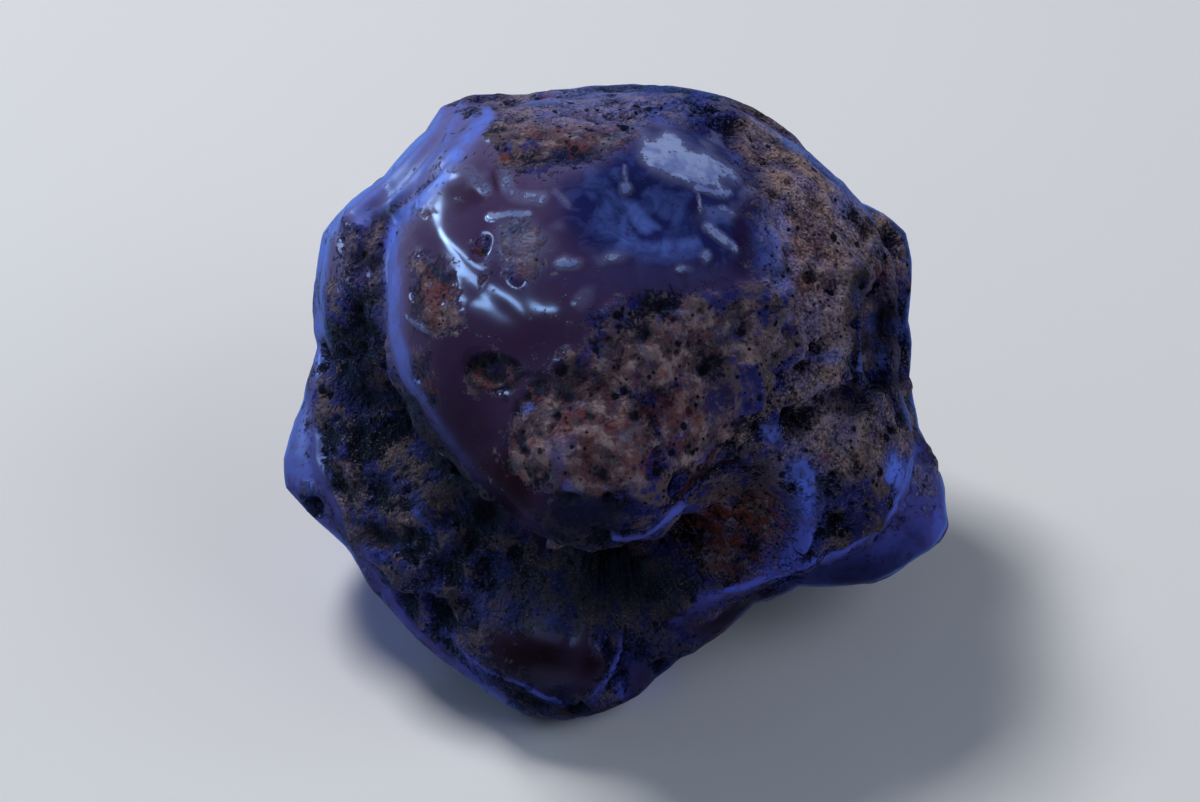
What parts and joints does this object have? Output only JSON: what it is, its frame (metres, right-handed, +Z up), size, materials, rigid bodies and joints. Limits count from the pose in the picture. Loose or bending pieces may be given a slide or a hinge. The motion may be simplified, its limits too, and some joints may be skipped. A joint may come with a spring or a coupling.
{
  "type": "agate nodule",
  "caption": "Rough nodule of dark agate: a bulging glossy cap over a gritty crusted body with pits and ridges, and a worn flat to rest on",
  "frame": {"origin": "on the surface the stone rests on, under the middle of its bounding box", "axes": "+Z up from the worn flat it rests on; -Y is the side its face looks out of, leaning back; +X is the stone's right as seen from there"},
  "size_m": [0.0684, 0.0574, 0.0567],
  "materials": {
    "stone": "satin"
  },
  "bodies": {
    "root": {"nodule": "stone"}
  },
  "joints": []
}
